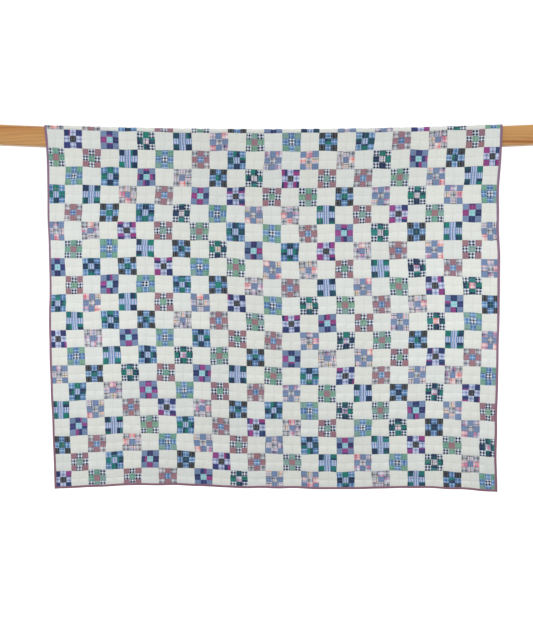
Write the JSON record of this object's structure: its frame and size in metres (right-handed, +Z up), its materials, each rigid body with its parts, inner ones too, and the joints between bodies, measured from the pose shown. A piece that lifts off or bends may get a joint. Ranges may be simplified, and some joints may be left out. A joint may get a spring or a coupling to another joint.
{
  "type": "patchwork quilt on a wooden beam",
  "caption": "Patchwork bed quilt of plain squares and checked pieced squares, quilted and bound, draped over a square wooden beam with its long drop in front.",
  "frame": {"origin": "middle of the beam's left end face, seen from the quilt's front", "axes": "+X along the beam to its right end, +Y from the front drop to the back drop, +Z up"},
  "size_m": [2.64, 0.1293, 1.807],
  "materials": {
    "pine": "planed and oiled",
    "cotton": "matte woven cotton",
    "binding": "matte woven cotton"
  },
  "bodies": {
    "root": {"beam": "pine", "quilt_body": "cotton", "binding_left": "binding", "binding_right": "binding", "binding_front_hem": "binding", "binding_back_hem": "binding"}
  },
  "joints": []
}
